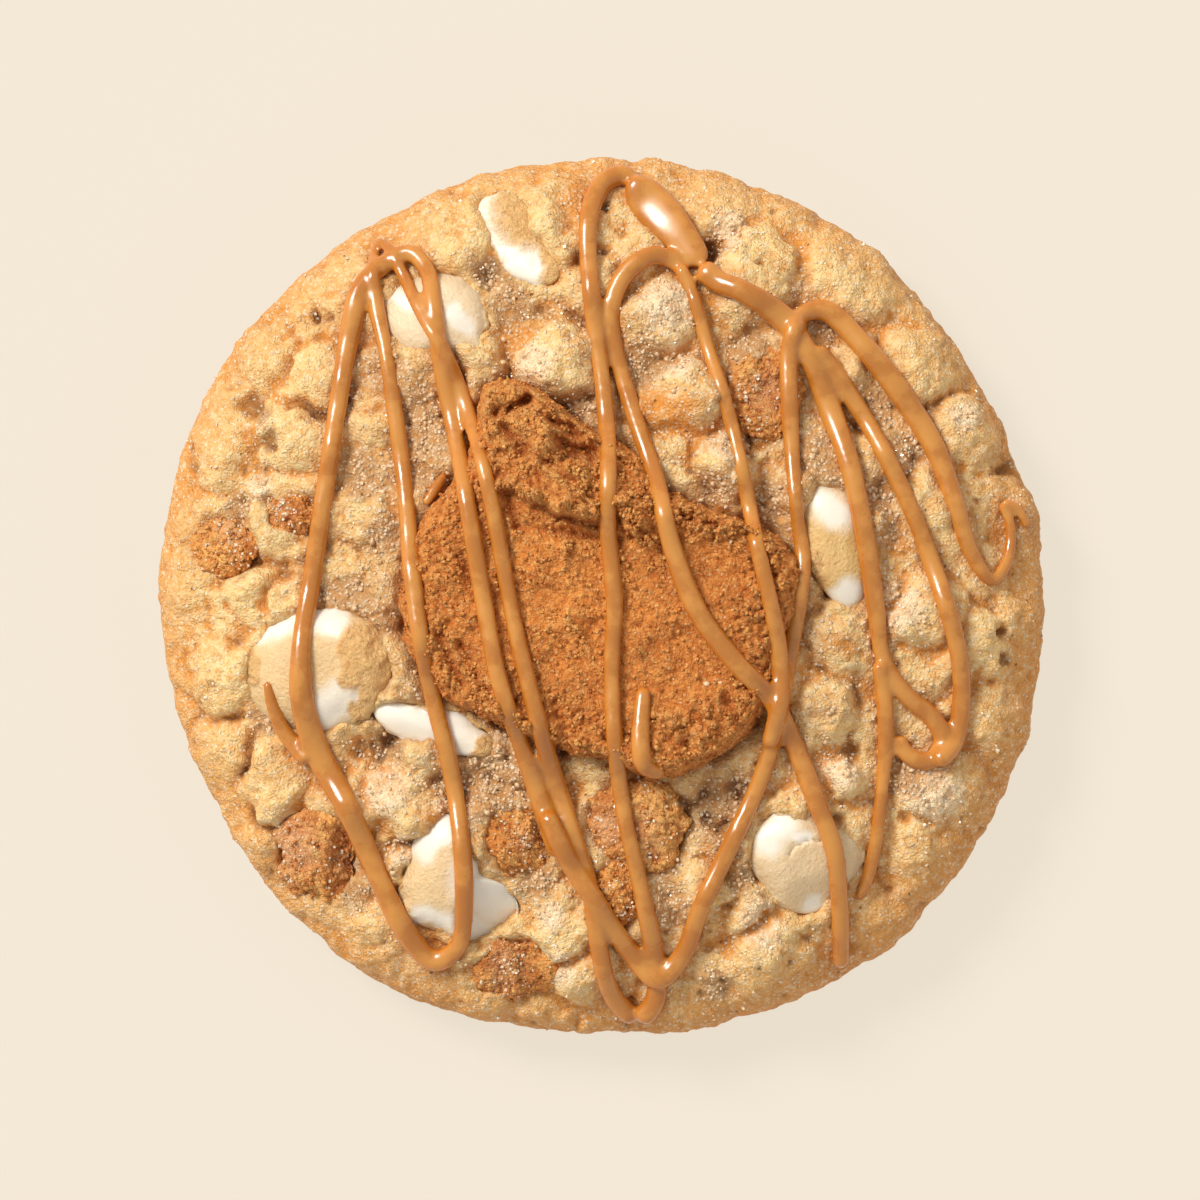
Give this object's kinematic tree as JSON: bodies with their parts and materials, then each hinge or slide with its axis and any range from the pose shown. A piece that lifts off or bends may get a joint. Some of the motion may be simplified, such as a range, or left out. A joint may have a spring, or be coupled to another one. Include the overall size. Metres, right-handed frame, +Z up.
{
  "type": "speculoos cookie with white chocolate chips and caramel drizzle",
  "caption": "Thick round soft cookie with a broken spiced biscuit, white chocolate chips and biscuit chunks pressed into its top, under a looping caramel drizzle.",
  "frame": {"origin": "on the table under the middle of the cookie", "axes": "+Z up out of the cookie's top; +Y to the far side in the picture, where the drizzle's fat pool lies; +X to the picture's right"},
  "size_m": [0.0992, 0.0982, 0.0261],
  "materials": {
    "cookie_dough": "matte baked crumb",
    "spiced_biscuit": "matte sandy crumb",
    "white_chocolate": "satin"
  },
  "bodies": {
    "root": {"dough": "cookie_dough", "speculoos_biscuit": "spiced_biscuit", "white_chip_1": "white_chocolate", "white_chip_2": "white_chocolate", "white_chip_3": "white_chocolate", "white_chip_4": "white_chocolate", "white_chip_5": "white_chocolate", "white_chip_6": "white_chocolate", "white_chip_7": "white_chocolate", "biscuit_chunk_1": "spiced_biscuit", "biscuit_chunk_2": "spiced_biscuit", "biscuit_chunk_3": "spiced_biscuit", "biscuit_chunk_4": "spiced_biscuit", "biscuit_chunk_5": "spiced_biscuit", "biscuit_chunk_6": "spiced_biscuit", "biscuit_chunk_7": "spiced_biscuit", "biscuit_chunk_8": "spiced_biscuit"}
  },
  "joints": []
}
